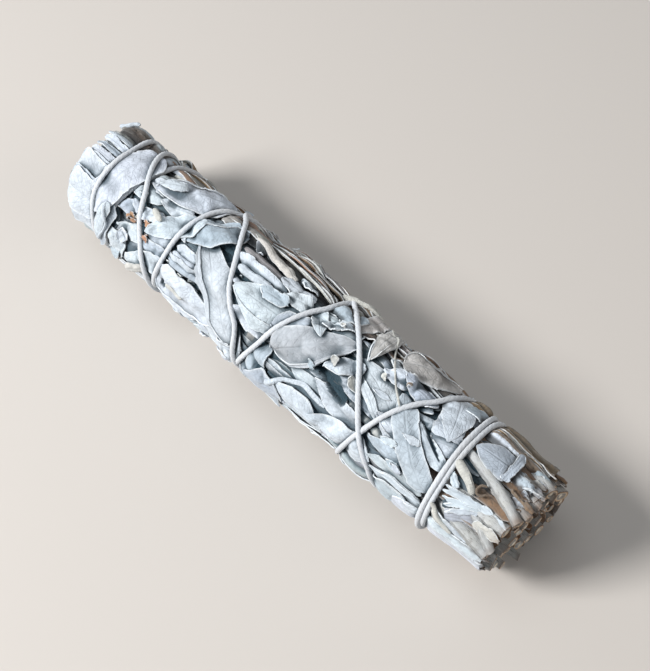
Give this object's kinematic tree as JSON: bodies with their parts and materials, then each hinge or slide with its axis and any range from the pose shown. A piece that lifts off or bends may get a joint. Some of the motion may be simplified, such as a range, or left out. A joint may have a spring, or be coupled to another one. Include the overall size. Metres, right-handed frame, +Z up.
{
  "type": "sage bunch",
  "caption": "Dried white sage sprigs pressed side by side into a roll and bound criss-cross with a cotton thread, leaf tips at one end and cut stems at the other.",
  "frame": {"origin": "middle of the surface that the bunch lies on, under the middle of its bounding box", "axes": "+X along the bunch towards its cut stems, +Z up"},
  "size_m": [0.1826, 0.0396, 0.04],
  "materials": {
    "sage_leaf": "dry felted leaf, grey-green to blue-white, matt",
    "sage_stem": "dry pale stem with a whitish bloom, matt",
    "cotton_thread": "white twisted cotton"
  },
  "bodies": {
    "root": {"sprig_01_leaves": "sage_leaf", "sprig_01_stem": "sage_stem", "sprig_02_leaves": "sage_leaf", "sprig_02_stem": "sage_stem", "sprig_03_leaves": "sage_leaf", "sprig_03_stem": "sage_stem", "sprig_04_leaves": "sage_leaf", "sprig_04_stem": "sage_stem", "sprig_05_leaves": "sage_leaf", "sprig_05_stem": "sage_stem", "sprig_06_leaves": "sage_leaf", "sprig_06_stem": "sage_stem", "sprig_07_leaves": "sage_leaf", "sprig_07_stem": "sage_stem", "sprig_08_leaves": "sage_leaf", "sprig_08_stem": "sage_stem", "sprig_09_leaves": "sage_leaf", "sprig_09_stem": "sage_stem", "sprig_10_leaves": "sage_leaf", "sprig_10_stem": "sage_stem", "sprig_11_leaves": "sage_leaf", "sprig_11_stem": "sage_stem", "sprig_12_leaves": "sage_leaf", "sprig_12_stem": "sage_stem", "sprig_13_leaves": "sage_leaf", "sprig_13_stem": "sage_stem", "sprig_14_leaves": "sage_leaf", "sprig_14_stem": "sage_stem", "sprig_15_leaves": "sage_leaf", "sprig_15_stem": "sage_stem", "sprig_16_leaves": "sage_leaf", "sprig_16_stem": "sage_stem", "sprig_17_leaves": "sage_leaf", "sprig_17_stem": "sage_stem", "binding_thread": "cotton_thread"}
  },
  "joints": []
}
